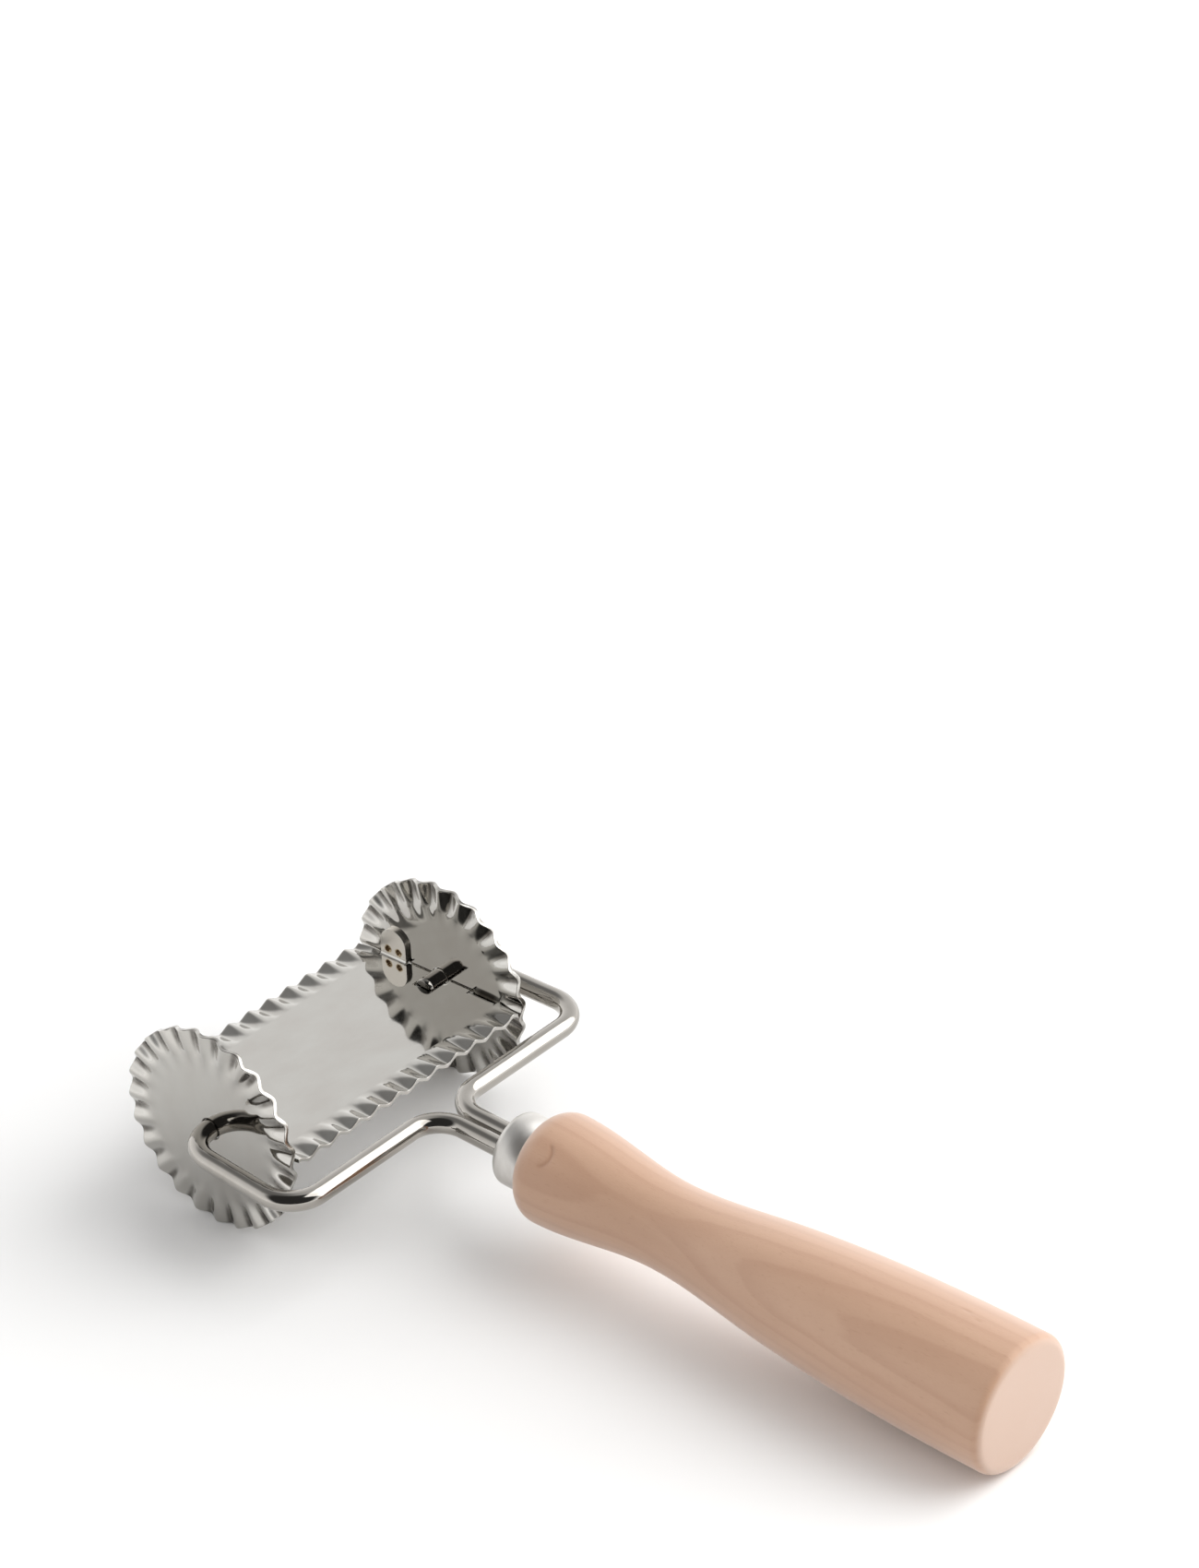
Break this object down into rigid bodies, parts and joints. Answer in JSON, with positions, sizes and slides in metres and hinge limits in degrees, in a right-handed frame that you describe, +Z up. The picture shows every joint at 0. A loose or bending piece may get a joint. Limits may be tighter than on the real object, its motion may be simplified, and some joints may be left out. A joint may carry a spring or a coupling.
{
  "type": "rectangular pasta cutter",
  "caption": "Hand roller that cuts a dough sheet into rectangles: fluted wheels joined by a flat fluted cross blade, turning in a bent-wire fork on a turned wooden handle.",
  "frame": {"origin": "on the table, at the middle of the box round the cutter as it lies on both rims and the butt's edge", "axes": "+X along the axle, -Y towards the handle's butt, +Z up from the table"},
  "size_m": [0.1056, 0.2276, 0.0514],
  "materials": {
    "wheel_steel": "polished stainless sheet",
    "blade_steel": "mirror-polished stainless sheet",
    "wire_steel": "bright stainless rod",
    "ferrule_steel": "satin drawn steel",
    "handle_wood": "unvarnished beech"
  },
  "bodies": {
    "fork_and_handle": {"left_wire": "wire_steel", "right_wire": "wire_steel", "ferrule": "ferrule_steel", "handle": "handle_wood"},
    "roller": {"left_wheel": "wheel_steel", "right_wheel": "wheel_steel", "cross_blade": "blade_steel"}
  },
  "joints": [
    {"name": "roller_spin", "type": "hinge", "parent": "fork_and_handle", "child": "roller", "pos_m": [0, 0.08808, 0.0257], "axis": [1, 0, 0], "continuous": true}
  ]
}
